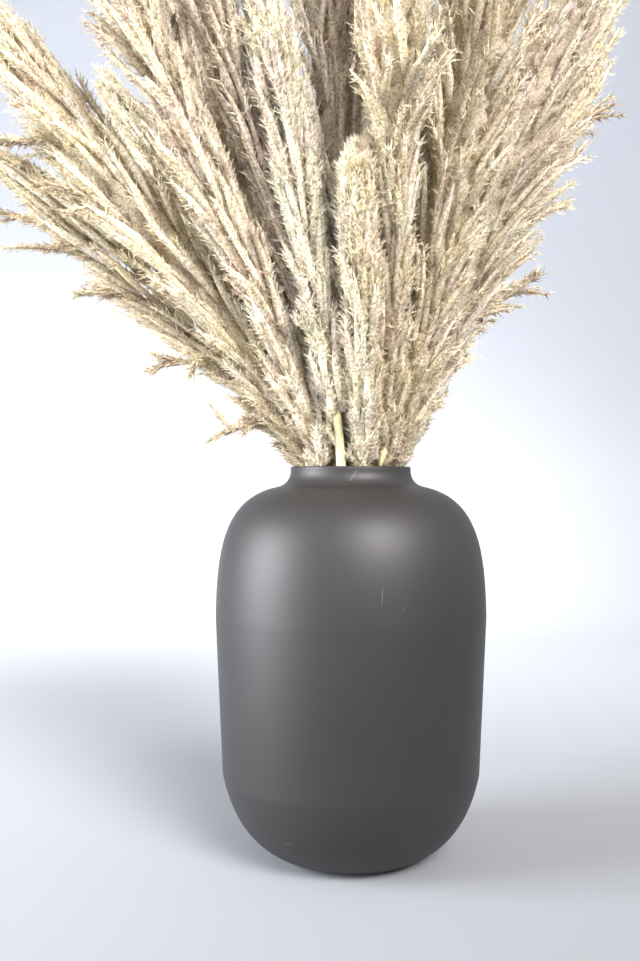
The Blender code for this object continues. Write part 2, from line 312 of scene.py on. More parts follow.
# How far along a fibre each part's colour is read, and so how much painted root shade it
# takes: heart, lock, spikelet root and tip
HEART_ALONG = 0.2
LOCK_ALONG = 0.42
SPIKELET_ALONG = (0.10, 0.98)

# A lighter column of fluff: its place and lean in x, its width, the depth that it
# reaches back to, how soft that edge is, and how much lighter it is
COLUMN_X = -0.012
COLUMN_LEAN = -0.090
COLUMN_WIDTH = 0.021
COLUMN_BACK = -0.030
COLUMN_EDGE = 0.008
COLUMN_LIGHTER = 0.62

# The studio: each light's place, target, size, colour and spread, and the paper sweep
WINDOW_LIGHT = dict(place=(-2.3, -0.58, 0.76), target=(0, 0, 0.40), size=(1.4, 1.5),
                    colour=(0.93, 0.97, 1.0), spread=180.0)
FRONT_LIGHT = dict(place=(0.65, -1.25, 1.75), target=(0, 0, 0.85), size=(2.4, 1.6),
                   colour=(1.0, 0.98, 0.95), spread=44.0)
ROOM_COLOUR = (1.0, 0.98, 0.955)
SWEEP_FRONT = -6.0
SWEEP_BACK = 1.2
SWEEP_BEND = 1.6
SWEEP_TOP = 6.0
SWEEP_HALF_WIDTH = 6.0
SWEEP_FADE = (0.3, 2.2)
SWEEP_POINTS = 25
PAPER_ROUGHNESS = 0.95
SENSOR_WIDTH = 36.0


# Arrays to meshes

def tube_triangles(strands, rings, sides):
    """Triangles of closed tubes on a (strand, ring, side) grid with a pole at each end.

    Corner (s, r, k) has index s*(rings*sides + 2) + r*sides + k, and the two poles
    come last. Each grid cell gives two triangles, each end a fan.
    """
    block = rings * sides + 2
    r, k = np.meshgrid(np.arange(rings - 1), np.arange(sides), indexing="ij")
    a = r * sides + k
    b = r * sides + (k + 1) % sides
    cells = np.stack([a, b, b + sides, a, b + sides, a + sides], -1).reshape(-1, 3)
    k = np.arange(sides)
    nxt = (k + 1) % sides
    last = (rings - 1) * sides
    foot = np.stack([np.full(sides, block - 2), nxt, k], -1)
    head = np.stack([np.full(sides, block - 1), last + k, last + nxt], -1)
    one = np.concatenate([cells, foot, head])
    return (one[None] + np.arange(strands)[:, None, None] * block).reshape(-1, 3)


def unit(vectors):
    """The vectors at length one."""
    return vectors / np.maximum(np.linalg.norm(vectors, axis=-1, keepdims=True), 1e-9)


def frames_along(lines):
    """Tangents and two directions square to them, for lines on a (line, point) grid."""
    along = unit(np.gradient(lines, axis=1))
    first = unit(np.cross(along, np.array(NO_STRAND_WAY)))
    return along, first, np.cross(along, first)


def sweep_tubes(lines, radii, sides):
    """Round tubes: centre + radius * (cos a * first + sin a * second) round each line."""
    _, first, second = frames_along(lines)
    angle = np.linspace(0, 2 * math.pi, sides, endpoint=False)
    ring = (np.cos(angle)[:, None] * first[:, :, None] + np.sin(angle)[:, None] * second[:, :, None])
    skin = lines[:, :, None] + radii[:, :, None, None] * ring
    count = lines.shape[0]
    return np.concatenate([skin.reshape(count, -1, 3), lines[:, :1], lines[:, -1:]], axis=1)


def mesh_object(name, corners, triangles, materials, slots=None, uv=None, smooth=None):
    """A named object from corner and triangle arrays, with one UV pair per corner."""
    mesh = bpy.data.meshes.new(name)
    mesh.vertices.add(len(corners))
    mesh.vertices.foreach_set("co", corners.astype(np.float32).ravel())
    mesh.loops.add(triangles.size)
    mesh.loops.foreach_set("vertex_index", triangles.astype(np.int32).ravel())
    mesh.polygons.add(len(triangles))
    mesh.polygons.foreach_set("loop_start", np.arange(0, triangles.size, 3, dtype=np.int32))
    if slots is not None:
        mesh.polygons.foreach_set("material_index", slots.astype(np.int32))
    if smooth is None:
        smooth = np.ones(len(triangles), bool)
    mesh.polygons.foreach_set("use_smooth", smooth)
    if uv is not None:
        layer = mesh.uv_layers.new(name="tint_and_along")
        layer.data.foreach_set("uv", uv[triangles.ravel()].astype(np.float32).ravel())
    mesh.update(calc_edges=True)
    for material in materials:
        mesh.materials.append(material)
    thing = bpy.data.objects.new(name, mesh)
    bpy.context.scene.collection.objects.link(thing)
    return thing


# Materials

def new_material(name, roughness):
    """A node material and its shader."""
    material = bpy.data.materials.new(name)
    material.use_nodes = True
    shader = material.node_tree.nodes["Principled BSDF"]
    shader.inputs["Roughness"].default_value = roughness
    return material, material.node_tree.nodes, material.node_tree.links, shader


def ramp_node(nodes, stops):
    """A colour ramp with the given (place, colour) stops."""
    node = nodes.new("ShaderNodeValToRGB")
    ramp = node.color_ramp
    while len(ramp.elements) < len(stops):
        ramp.elements.new(0.5)
    for element, (place, colour) in zip(ramp.elements, stops):
        element.position = place
        element.color = (*colour, 1.0)
    return node


def multiply_node(nodes, links, first, second, factor=1.0):
    """A colour product of two sockets."""
    node = nodes.new("ShaderNodeMix")
    node.data_type = "RGBA"
    node.blend_type = "MULTIPLY"
    node.inputs["Factor"].default_value = factor
    links.new(first, node.inputs["A"])
    links.new(second, node.inputs["B"])
    return node.outputs["Result"]


def noise_node(nodes, links, place, scale, detail):
    """Noise of a scale and detail over a place socket, as its grey socket."""
    node = nodes.new("ShaderNodeTexNoise")
    node.inputs["Scale"].default_value = scale
    node.inputs["Detail"].default_value = detail
    links.new(place, node.inputs["Vector"])
    return node.outputs["Fac"]


def bump_shader(nodes, links, shader, height, strength, distance):
    """Bumps the shader's surface by a height socket."""
    bump = nodes.new("ShaderNodeBump")
    bump.inputs["Strength"].default_value = strength
    bump.inputs["Distance"].default_value = distance
    links.new(height, bump.inputs["Height"])
    links.new(bump.outputs["Normal"], shader.inputs["Normal"])


def maths(nodes, links, operation, first, second):
    """A maths node over a socket and a number or a second socket."""
    node = nodes.new("ShaderNodeMath")
    node.operation = operation
    links.new(first, node.inputs[0])
    if isinstance(second, float):
        node.inputs[1].default_value = second
    else:
        links.new(second, node.inputs[1])
    return node.outputs["Value"]


def scratch_mask(nodes, links, place, start, end, half_width):
    """One where a point is within half a width of the line from start to end, in front.

    With d the unit direction in the x-z plane and n square to it, the point's share
    along is (p - start) . d and its distance off the line is |(p - start) . n|.
    """
    way = np.array(end) - np.array(start)
    length = float(np.hypot(*way))
    way = way / length
    split = nodes.new("ShaderNodeSeparateXYZ")
    links.new(place, split.inputs["Vector"])
    x = maths(nodes, links, "SUBTRACT", split.outputs["X"], float(start[0]))
    z = maths(nodes, links, "SUBTRACT", split.outputs["Z"], float(start[1]))
    along = maths(nodes, links, "ADD", maths(nodes, links, "MULTIPLY", x, float(way[0])),
                  maths(nodes, links, "MULTIPLY", z, float(way[1])))
    off = maths(nodes, links, "SUBTRACT", maths(nodes, links, "MULTIPLY", x, float(way[1])),
                maths(nodes, links, "MULTIPLY", z, float(way[0])))
    inside = maths(nodes, links, "COMPARE", along, length / 2)
    inside.node.inputs[2].default_value = length / 2
    close = maths(nodes, links, "COMPARE", off, 0.0)
    close.node.inputs[2].default_value = half_width
    front = maths(nodes, links, "LESS_THAN", split.outputs["Y"], 0.0)
    return maths(nodes, links, "MULTIPLY", maths(nodes, links, "MULTIPLY", inside, close), front)


def glaze_material(settings):
    """Matt charcoal glaze: cloudy tone, fine grain in the bump, a few hair scratches."""
    material, nodes, links, shader = new_material("matte_charcoal_glaze", settings.roughness)
    place = nodes.new("ShaderNodeTexCoord")
    cloud = noise_node(nodes, links, place.outputs["Object"], **CLOUD_NOISE)
    shader.inputs["Specular IOR Level"].default_value = settings.shine
    base = tuple(settings.colour)
    tones = ramp_node(nodes, [(stop, [c * share for c in base]) for stop, share in CLOUD_TONES])
    links.new(cloud, tones.inputs["Fac"])
    masks = [scratch_mask(nodes, links, place.outputs["Object"], *scratch) for scratch in SCRATCHES]
    scratched = masks[0]
    for mask in masks[1:]:
        scratched = maths(nodes, links, "MAXIMUM", scratched, mask)
    worn = nodes.new("ShaderNodeMix")
    worn.data_type = "RGBA"
    worn.inputs["B"].default_value = (*settings.scratch_colour, 1.0)
    links.new(scratched, worn.inputs["Factor"])
    links.new(tones.outputs["Color"], worn.inputs["A"])
    links.new(worn.outputs["Result"], shader.inputs["Base Color"])
    grain = noise_node(nodes, links, place.outputs["Object"], **GRAIN_NOISE)
    bump_shader(nodes, links, shader, grain, **GRAIN_BUMP)
    return material


def fluff_material(tint, settings):
    """Dry feathery fibre: colour by each fibre's own tint, with painted shade deeper at its root.

    Small flecks darken it, and broad patches lean towards straw green or towards mauve.
    """
    material, nodes, links, shader = new_material(f"pampas_fluff_{tint}", settings.roughness)
    own = nodes.new("ShaderNodeUVMap")
    own.uv_map = "tint_and_along"
    split = nodes.new("ShaderNodeSeparateXYZ")
    links.new(own.outputs["UV"], split.inputs["Vector"])
    tone = ramp_node(nodes, FLUFF_RAMPS[tint])
    links.new(split.outputs["X"], tone.inputs["Fac"])
    # Painted shade: the colour darkens towards each fibre's root, deep among the fibres.
    root = ramp_node(nodes, ROOT_SHADE_RAMP)
    links.new(split.outputs["Y"], root.inputs["Fac"])
    place = nodes.new("ShaderNodeTexCoord")
    fleck = noise_node(nodes, links, place.outputs["Object"], **FLECK_NOISE)
    flecks = ramp_node(nodes, FLECK_RAMP)
    links.new(fleck, flecks.inputs["Fac"])
    patch = noise_node(nodes, links, place.outputs["Object"], **PATCH_NOISE)
    casts = ramp_node(nodes, PATCH_RAMP)
    links.new(patch, casts.inputs["Fac"])
    rooted = multiply_node(nodes, links, tone.outputs["Color"], root.outputs["Color"])
    flecked = multiply_node(nodes, links, rooted, flecks.outputs["Color"])
    colour = multiply_node(nodes, links, flecked, casts.outputs["Color"])
    links.new(colour, shader.inputs["Base Color"])
    bump_shader(nodes, links, shader, fleck, **FLECK_BUMP)
    shader.inputs["Specular IOR Level"].default_value = FLUFF_SHINE
    glow = nodes.new("ShaderNodeBsdfTranslucent")
    links.new(colour, glow.inputs["Color"])
    mix = nodes.new("ShaderNodeMixShader")
    mix.inputs["Fac"].default_value = settings.translucency
    links.new(shader.outputs["BSDF"], mix.inputs[1])
    links.new(glow.outputs["BSDF"], mix.inputs[2])
    links.new(mix.outputs["Shader"], nodes["Material Output"].inputs["Surface"])
    return material


def stem_material():
    """Dry straw stem: pale yellow with fine lengthwise streaks."""
    material, nodes, links, shader = new_material("pampas_stem_straw", STRAW_ROUGHNESS)
    place = nodes.new("ShaderNodeTexCoord")
    stretch = nodes.new("ShaderNodeMapping")
    stretch.inputs["Scale"].default_value = STREAK_STRETCH
    links.new(place.outputs["Object"], stretch.inputs["Vector"])
    streak = noise_node(nodes, links, stretch.outputs["Vector"], **STREAK_NOISE)
    tone = ramp_node(nodes, STREAK_RAMP)
    links.new(streak, tone.inputs["Fac"])
    links.new(tone.outputs["Color"], shader.inputs["Base Color"])
    bump_shader(nodes, links, shader, streak, **STREAK_BUMP)
    return material


# The vase

def power_arc(start, end, count, powers):
    """Points (u, v) on the curve u**p + v**q = 1 between two angles."""
    angle = np.linspace(start, end, count)
    return np.cos(angle) ** (2 / powers[0]), np.sin(angle) ** (2 / powers[1])


def vase_outline(settings):
    """The vase's outline, (radius, height), from the foot over the rim to the floor.

    Outside: two power curves meet in the side, a hollow arc tangent to the shoulder
    turns up into the neck. Inside: the outside set in by the wall along its normal.
    """
    belly = (VASE_BOX[1][1] - VASE_BOX[0][1]) / 2
    foot_angle = math.asin((LOWER_CURVE_TOP / (LOWER_CURVE_TOP + FOOT_DROP)) ** (LOWER_POWERS[1] / 2))
    u, v = power_arc(foot_angle, LOWER_CURVE_END, CURVE_POINTS, LOWER_POWERS)
    lower = np.stack([belly * u, LOWER_CURVE_TOP - (LOWER_CURVE_TOP + FOOT_DROP) * v], 1)
    last_angle = math.acos((SHOULDER_END_RADIUS / belly) ** (UPPER_POWER / 2))
    u, v = power_arc(UPPER_CURVE_START, last_angle, CURVE_POINTS, (UPPER_POWER, UPPER_POWER))
    rise = SHOULDER_TOP - UPPER_CURVE_FOOT
    upper = np.stack([belly * u, UPPER_CURVE_FOOT + rise * v], 1)
    slope = math.atan((u[-1] / v[-1]) ** (UPPER_POWER - 1) * rise / belly)
    radius = (SHOULDER_END_RADIUS - settings.neck_radius) / (1 - math.sin(slope))
    angle = np.linspace(1.5 * math.pi - slope, math.pi, NECK_POINTS)[1:]
    centre = (settings.neck_radius + radius, upper[-1, 1] + radius * math.cos(slope))
    neck = np.stack([centre[0] + radius * np.cos(angle), centre[1] + radius * np.sin(angle)], 1)
    body = np.concatenate([lower, upper, neck])

    along = unit(np.gradient(body, axis=0))
    inner = body + settings.wall * np.stack([-along[:, 1], along[:, 0]], 1)
    above_floor = inner[:, 1] > settings.floor + INNER_FLOOR_GAP
    below_rim = inner[:, 1] < VASE_HEIGHT - INNER_RIM_GAP
    inner = inner[above_floor & below_rim][::-1]
    half_wall = settings.wall / 2
    turn = np.linspace(0, math.pi, LIP_POINTS)
    side = np.sign(np.round(np.cos(turn), 6))
    lip_radius = settings.neck_radius - half_wall + side * (half_wall - RIM_ROUND) + RIM_ROUND * np.cos(turn)
    lip = np.stack([lip_radius, VASE_HEIGHT - RIM_ROUND + RIM_ROUND * np.sin(turn)], 1)
    foot = np.array([[0.0, 0.0], [body[0, 0] - FOOT_EDGE, 0.0]])
    floor = np.array([[inner[-1, 0] - INNER_FLOOR_ROUND, settings.floor], [0.0, settings.floor]])
    return np.concatenate([foot, body, lip, inner, floor])


def turned_surface(outline, sides):
    """Corners (r cos a, r sin a, z) for an outline turned about Z, poles at both ends."""
    angle = np.linspace(0, 2 * math.pi, sides, endpoint=False)
    rings = outline[1:-1]
    skin = np.stack([rings[:, :1] * np.cos(angle), rings[:, :1] * np.sin(angle),
                     np.repeat(rings[:, 1:], sides, axis=1)], -1)
    poles = np.array([[0, 0, outline[0, 1]], [0, 0, outline[-1, 1]]])
    return np.concatenate([skin.reshape(-1, 3), poles]), tube_triangles(1, len(rings), sides)


# The grass

def ring_stalks():
    """Every stalk as a dictionary of its foot, its place in the mouth and its lean."""
    stalks = []
    for ring, rows, reach in ((OUTER_RING, OUTER_STALKS, OUTWARD_REACH), (INNER_RING, INNER_STALKS, 0)):
        for k, (x, y, tip, width, nod, tint) in enumerate(rows):
            angle = math.radians(ring["first"] + k * 360 / ring["count"])
            way = np.array([math.cos(angle), math.sin(angle)])
            stalks.append(dict(foot=ring["foot"] * way, neck=ring["neck"] * way, aim=np.array([x, y]),
                               tip=tip, width=width, nod=nod, reach=reach, tint=tint, bare=0.0,
                               loose=math.inf))
    stalks[BARE_STEM_STALK - 1]["bare"] = BARE_STEM_HEIGHT
    stalks[LOOSE_STALK - 1]["loose"] = LOOSE_FROM
    return stalks


def stalk_line(stalk, heights, floor):
    """Centre-line at heights above the rim, as in the frame's solids.

    Below the rim the offset from the foot grows with a power of the height; above it
    the slope turns to the lean as an exponential, and the tip nods with a high power.
    """
    depth = VASE_HEIGHT - floor - TOUCH_GAP
    spread = stalk["neck"] - stalk["foot"]
    start_slope = spread * STEM_BEND_POWER / depth
    lean_gain = (stalk["aim"] - stalk["neck"] - start_slope * AIM_HEIGHT) / (AIM_HEIGHT - TURN_HEIGHT)
    above = np.clip(heights, 0, None)[..., None]
    inside = np.clip(1 + heights[..., None] / depth, 0, 1) ** STEM_BEND_POWER
    turn = above - TURN_HEIGHT * (1 - np.exp(-above / TURN_HEIGHT))
    outward = unit(stalk["aim"])
    nod = stalk["nod"] * outward * (above / stalk["tip"]) ** NOD_POWER
    flat = stalk["foot"] + spread * inside + start_slope * above + lean_gain * turn + nod
    return np.concatenate([flat, VASE_HEIGHT + heights[..., None]], axis=-1)


def wall_distance(points, neck_radius, wall):
    """How far points are from the neck's wall, in the plane through the axis."""
    radius = np.hypot(points[:, 0], points[:, 1])
    side = np.maximum(np.maximum(neck_radius - wall - radius, radius - neck_radius), 0)
    return np.hypot(side, np.maximum(points[:, 2] - VASE_HEIGHT, 0))


def room_table(stalks, vase):
    """For each stalk, heights from rim to tip and the radius free for it at each."""
    heights = [np.linspace(0, stalk["tip"], ROOM_POINTS) for stalk in stalks]
    lines = [stalk_line(stalk, h, vase.floor) for stalk, h in zip(stalks, heights)]
    table = []
    for i, line in enumerate(lines):
        others = np.concatenate(lines[:i] + lines[i + 1:])
        apart = np.linalg.norm(line[:, None] - others[None], axis=2).min(axis=1)
        free = wall_distance(line, vase.neck_radius, vase.wall) - RIM_CLEARANCE
        table.append((heights[i], np.minimum(ROOM_SHARE * apart - ROOM_GAP, free)))
    return table


def plume_radius(stalk, room, heights):
    """The plume's outline radius: full at its peak, closed at its tip, within its room.

    The width grows with a power of the height up to the peak, and falls with the same
    power of the height that is left above it.
    """
    share = np.clip(heights / stalk["tip"], 0, 1)
    rising = np.minimum(share / PLUME_PEAK, 1) ** PLUME_POWER
    closing = np.clip((1 - share) / (1 - PLUME_PEAK), 0, 1) ** PLUME_POWER
    form = stalk["width"] * rising * closing
    return np.clip(np.minimum(form, np.interp(heights, *room)), TIP_RADIUS, None)


def plume_axes(stalk, heights, floor):
    """Tangent, outward direction and side direction of the plume at some heights."""
    ahead = stalk_line(stalk, heights + AXIS_STEP, floor)
    along = unit(ahead - stalk_line(stalk, heights - AXIS_STEP, floor))
    flat = np.append(unit(stalk["aim"]), 0.0)
    outward = unit(flat - (along @ flat)[..., None] * along)
    return along, outward, np.cross(along, outward)


def outward_reach(heights, angle, reach):
    """How much longer the plume is on the side that faces away from the bunch.

    It grows with a power of the cosine of the angle from the outward direction, and
    comes in over the first heights above the rim.
    """
    ramp = np.clip((heights - REACH_HEIGHTS[0]) / (REACH_HEIGHTS[1] - REACH_HEIGHTS[0]), 0, 1)
    return 1 + reach * ramp * np.maximum(np.cos(angle), 0) ** REACH_POWER


def outward_angles(angle):
    """Angles crowded on the outward side: the angle less a share of its sine."""
    return angle - OUTWARD_CROWDING * np.sin(angle)


def lock_starts(stalk, count, rng):
    """Height and angle at which each lock leaves the axis, and how far out it lies.

    The heights rise with a power of the lock's number, and each angle is a golden
    angle on from the last one.
    """
    share = (np.arange(count) + rng.uniform(0, 1, count)) / count
    foot = stalk["bare"] - LOCK_START_DROP
    start = foot + (LOCK_LAST_START * stalk["tip"] - foot) * share ** LOCK_START_POWER
    angle = np.arange(count) * GOLDEN_ANGLE + rng.uniform(-LOCK_ANGLE_SPREAD, LOCK_ANGLE_SPREAD, count)
    angle = np.arctan2(np.sin(angle), np.cos(angle))
    if stalk["reach"]:
        angle = outward_angles(angle)
    inner = rng.uniform(0, 1, count) < INNER_LOCK_SHARE
    depth = np.where(inner, rng.uniform(*INNER_LOCK_DEPTH, count), rng.uniform(*OUTER_LOCK_DEPTH, count))
    return start, angle, depth


def lock_lines(stalk, room, vase, grass, count, rng):
    """Centre-lines of a plume's locks, its side branches, on a (lock, point) grid.

    A lock climbs with the axis from its start height and moves out from it in step with
    its own length, to the plume's outline at its tip; it waves a little and sags with
    the square of its length. Above the height where a plume is loose, some are left out.
    """
    tip = stalk["tip"]
    start, angle, depth = lock_starts(stalk, count, rng)
    length = LOCK_LENGTH + LOCK_LENGTH_GAIN * np.clip(start / tip, 0, LOCK_GAIN_LIMIT)
    length = length * rng.uniform(*LOCK_LENGTH_SPREAD, count)
    length = np.minimum(length, tip * rng.uniform(*LOCK_END, count) - start)
    u = np.linspace(0, 1, grass.lock_rings)
    heights = start[:, None] + length[:, None] * u
    line = stalk_line(stalk, heights, vase.floor)
    _, outward, side = plume_axes(stalk, heights, vase.floor)
    radius = plume_radius(stalk, room, np.clip(heights, LOCK_LOWEST, tip * LOCK_HIGHEST))
    radius = radius * outward_reach(heights, angle[:, None], stalk["reach"]) + grass.fluff_extra
    flare = rng.uniform(*LOCK_FLARE, count)[:, None]
    profile = (LOCK_ROOT_REACH + (1 - LOCK_ROOT_REACH) * u + flare * u ** 3) * depth[:, None]
    wave = rng.uniform(*LOCK_WAVE, count)[:, None] * np.sin(
        u * rng.uniform(*LOCK_WAVE_RATE, count)[:, None] + rng.uniform(*LOCK_WAVE_PHASES, count)[:, None])
    turn = angle[:, None] + wave + rng.normal(0, LOCK_TURN, count)[:, None] * u
    reach = radius * profile * np.clip(heights / MOUTH_RISE + MOUTH_SHARE, MOUTH_SHARE, 1)
    reach *= 1 - TIP_PINCH * np.clip(heights / tip, 0, 1) ** TIP_PINCH_POWER
    line = line + reach[..., None] * (np.cos(turn)[..., None] * outward + np.sin(turn)[..., None] * side)
    line[..., 2] -= (length[:, None] * u) ** 2 * rng.uniform(*LOCK_SAG, count)[:, None]
    kept = (start < stalk["loose"]) | (rng.uniform(0, 1, count) < LOOSE_SHARE)
    return line[kept]


def spray_lines(sprays, stalk, vase, grass, rng):
    """Centre-lines of the long free fronds: from the stem to each spray's tip, bowed.

    The bow is a parabola of the length. The first lock of a frond is its whole strand;
    the others start one after another along it, each about a third as long, and leave
    it by a drift that grows with a power of their own length.
    """
    lines = []
    u = np.linspace(0, 1, grass.lock_rings)[:, None]
    for start, tip in sprays:
        begin = stalk_line(stalk, np.array([start]), vase.floor)[0]
        whole = np.array(tip) - begin
        bow = np.array([0, 0, 1.0]) * np.linalg.norm(whole) * SPRAY_BOW
        for k in range(grass.spray_locks):
            early = SPRAY_FIRST + SPRAY_SPAN * k / grass.spray_locks if k else 0.0
            late = min(early + rng.uniform(*SPRAY_LOCK_SHARE), 1.0) if k else 1.0
            place = early + (late - early) * u
            line = begin + whole * place + bow * 4 * place * (1 - place)
            drift = rng.normal(0, 1, 3) * (SPRAY_DRIFT if k else 0.0)
            lines.append(line + drift * u ** SPRAY_DRIFT_POWER)
    return np.array(lines).reshape(-1, grass.lock_rings, 3)


def husk_lines(grass):
    """Centre-lines of the papery husks: straight, from each start to its tip."""
    ends = np.array(HUSKS)
    u = np.linspace(0, 1, grass.lock_rings)[None, :, None]
    return ends[:, :1] + (ends[:, 1:] - ends[:, :1]) * u


def spikelets_on(lines, radii, axes, tints, grass, rng):
    """Small closed four-sided spikes along locks, leaning forward off each lock.

    A spike stands at a random place u along a lock and angle a round it, and points
    along tangent * cos(lean) + radial * sin(lean). Its base is a small triangle. More
    of them stand on the side away from the plume's axis.
    """
    locks, points = lines.shape[:2]
    along, _, _ = frames_along(lines)
    away = lines - axes
    away = unit(away - (away * along).sum(-1, keepdims=True) * along)
    beside = np.cross(along, away)
    owner = np.repeat(np.arange(locks), grass.spikelets)
    total = len(owner)
    place = rng.uniform(0, 1, total) ** SPIKELET_START_POWER
    cell = place * (points - 1)
    low = np.clip(cell.astype(int), 0, points - 2)
    part = (cell - low)[:, None]

    def between(grid):
        """The grid's values at each spike's place along its lock."""
        return grid[owner, low] * (1 - part) + grid[owner, low + 1] * part

    centre, forward, one, two = between(lines), between(along), between(away), between(beside)
    width = between(radii[..., None])[:, 0]
    angle = outward_angles(rng.uniform(-math.pi, math.pi, total))
    radial = np.cos(angle)[:, None] * one + np.sin(angle)[:, None] * two
    lean = np.radians(rng.uniform(*grass.spikelet_lean, total))[:, None]
    way = unit(forward * np.cos(lean) + radial * np.sin(lean))
    near, gain = SPIKELET_LENGTH_SHARE
    length = rng.uniform(*grass.spikelet_length, total) * (near + gain * place)
    half = rng.uniform(*grass.spikelet_width, total) / 2
    base = centre + radial * (width * SPIKELET_ROOT)[:, None]
    flat = unit(np.cross(way, radial))
    up = np.cross(way, flat)
    corners = np.empty((total, 4, 3))
    for k in range(3):
        turn = 2 * math.pi * k / 3
        corners[:, k] = base + half[:, None] * (math.cos(turn) * flat + math.sin(turn) * up)
    corners[:, 3] = base + way * length[:, None]
    one_spike = np.array([[0, 1, 3], [1, 2, 3], [2, 0, 3], [0, 2, 1]])
    triangles = (one_spike[None] + 4 * np.arange(total)[:, None, None]).reshape(-1, 3)
    # Painted shade and light: darker near the lock's root inside the plume, lighter towards its tip
    lighter = grass.painted_shade_along_lock * (place - 0.5)
    uneven = rng.normal(0, grass.tint_spread, total)
    tint = np.clip(tints[owner] + lighter + uneven, *SPIKELET_TINTS)
    uv = np.empty((total, 4, 2))
    uv[..., 0] = tint[:, None]
    uv[:, :3, 1], uv[:, 3, 1] = SPIKELET_ALONG
    return corners.reshape(-1, 3), triangles, uv.reshape(-1, 2)


def plume_heart(stalk, room, vase, rng):
    """The dense middle of a plume: a lumpy closed loft at part of its radius, in painted shade."""
    low, high = HEART_SPAN
    heights = np.linspace(stalk["bare"] * low, stalk["tip"] * high, HEART_RINGS)
    angle = np.linspace(0, 2 * math.pi, HEART_SIDES, endpoint=False)
    line = stalk_line(stalk, heights, vase.floor)
    _, outward, side = plume_axes(stalk, heights, vase.floor)
    radius = plume_radius(stalk, room, heights)[:, None]
    radius = radius * outward_reach(heights[:, None], angle, stalk["reach"])
    lumps = HEART_SHARE + HEART_LUMPS * rng.uniform(-1, 1, (HEART_RINGS, HEART_SIDES))
    lumps *= np.clip((heights - heights[0]) / HEART_TAPER + HEART_FOOT_SHARE, 0, 1)[:, None]
    loose = np.clip((heights - stalk["loose"]) / LOOSE_HEART_RISE, 0, 1)[:, None]
    lumps *= 1 - LOOSE_HEART_THINNER * loose
    way = np.cos(angle)[:, None] * outward[:, None] + np.sin(angle)[:, None] * side[:, None]
    skin = line[:, None] + (radius * lumps)[..., None] * way
    corners = np.concatenate([skin.reshape(-1, 3), line[:1], line[-1:]])
    uneven = HEART_TINT_SPREAD * rng.uniform(-1, 1, len(corners))
    # Painted shade: the heart's tint lies below the plume's mean tint.
    tint = np.clip(MEAN_TINT[stalk["tint"]] - HEART_PAINTED_SHADE + uneven, *HEART_TINTS)
    uv = np.stack([tint, np.full(len(corners), HEART_ALONG)], 1)
    return corners, tube_triangles(1, HEART_RINGS, HEART_SIDES), uv


def stem_tube(stalk, vase, grass):
    """The stem from the vase's floor into the plume: even below, thinner in the plume."""
    foot = VASE_HEIGHT - vase.floor - TOUCH_GAP
    heights = np.linspace(-foot, stalk["tip"] * STEM_TOP, STEM_RINGS)
    line = stalk_line(stalk, heights, vase.floor)[None]
    swell = BARE_STEM_SWELL if stalk["bare"] else 1.0
    radii = np.full((1, STEM_RINGS), grass.stem_radius * swell)
    radii[0, heights < STEM_SWELL_FROM] = grass.stem_radius
    radii[0, heights > 0] *= np.linspace(1, STEM_TIP_SHARE, int((heights > 0).sum()))
    return sweep_tubes(line, radii, STEM_SIDES)[0], tube_triangles(1, STEM_RINGS, STEM_SIDES)


def bright_column(points):
    """How far points lie in the lighter column of fluff at the front left of the mouth.

    A bell curve across a line that leans with the height, times a soft step in depth.
    """
    rise = np.clip(points[:, 2] - VASE_HEIGHT, 0, None)
    middle = COLUMN_X + COLUMN_LEAN * rise
    across = np.exp(-((points[:, 0] - middle) / COLUMN_WIDTH) ** 2)
    front = 1 / (1 + np.exp((points[:, 1] - COLUMN_BACK) / COLUMN_EDGE))
    return across * front


def lock_radii(total, points, grass, rng):
    """Radius of each lock's body along it: part of a sine arch, uneven from ring to ring."""
    u = np.linspace(0, 1, points)
    first, span = LOCK_ARCH
    arch = np.sin(math.pi * (first + span * u ** LOCK_ARCH_POWER)) ** LOCK_ARCH_POWER
    body = LOCK_END_SHARE + (1 - LOCK_END_SHARE) * arch
    radii = grass.lock_radius * body * rng.uniform(*LOCK_RADIUS_SPREAD, total)[:, None]
    return radii * (1 + LOCK_LUMPS * rng.uniform(-1, 1, radii.shape))


def joined(parts):
    """One set of arrays from parts of (corners, triangles, uv, material slot, smooth)."""
    offset = np.cumsum([0] + [len(part[0]) for part in parts[:-1]])
    corners = np.concatenate([part[0] for part in parts])
    triangles = np.concatenate([part[1] + shift for part, shift in zip(parts, offset)])
    uv = np.concatenate([part[2] for part in parts])
    slots = np.concatenate([np.full(len(part[1]), part[3]) for part in parts])
    smooth = np.concatenate([np.full(len(part[1]), part[4]) for part in parts])
    return corners, triangles, uv, slots, smooth


